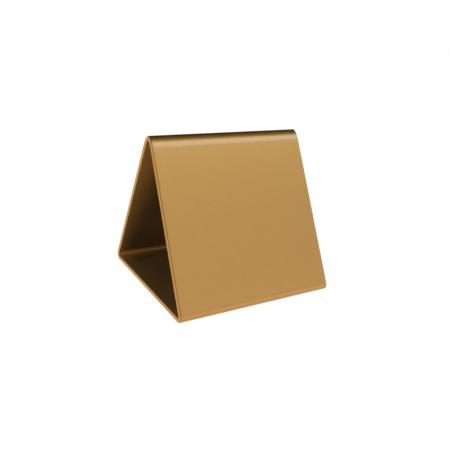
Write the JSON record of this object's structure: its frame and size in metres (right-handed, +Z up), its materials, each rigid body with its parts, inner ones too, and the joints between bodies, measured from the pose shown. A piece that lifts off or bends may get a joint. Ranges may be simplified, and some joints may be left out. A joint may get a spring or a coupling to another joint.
{
  "type": "place card holder",
  "caption": "Triangular sleeve of folded sheet metal with a rounded ridge and open ends, which stands on its base panel and shows a name or carries a folded card on a table.",
  "frame": {"origin": "on the table, under the middle of the sleeve, in the plane of the undersides of the pads", "axes": "+X along the ridge towards the right-hand rim, +Y from the front panel to the back panel, +Z up"},
  "size_m": [0.06, 0.0576, 0.056],
  "materials": {
    "gold_sheet": "bead-blasted sheet steel with a matte gold coating",
    "weld_metal": "weld ground flush and coated with the sheet",
    "clear_pad": "milky clear soft plastic"
  },
  "bodies": {
    "root": {"folded_sleeve": "gold_sheet", "closing_weld": "weld_metal", "pad_front_left": "clear_pad", "pad_front_right": "clear_pad", "pad_back_left": "clear_pad", "pad_back_right": "clear_pad"}
  },
  "joints": []
}
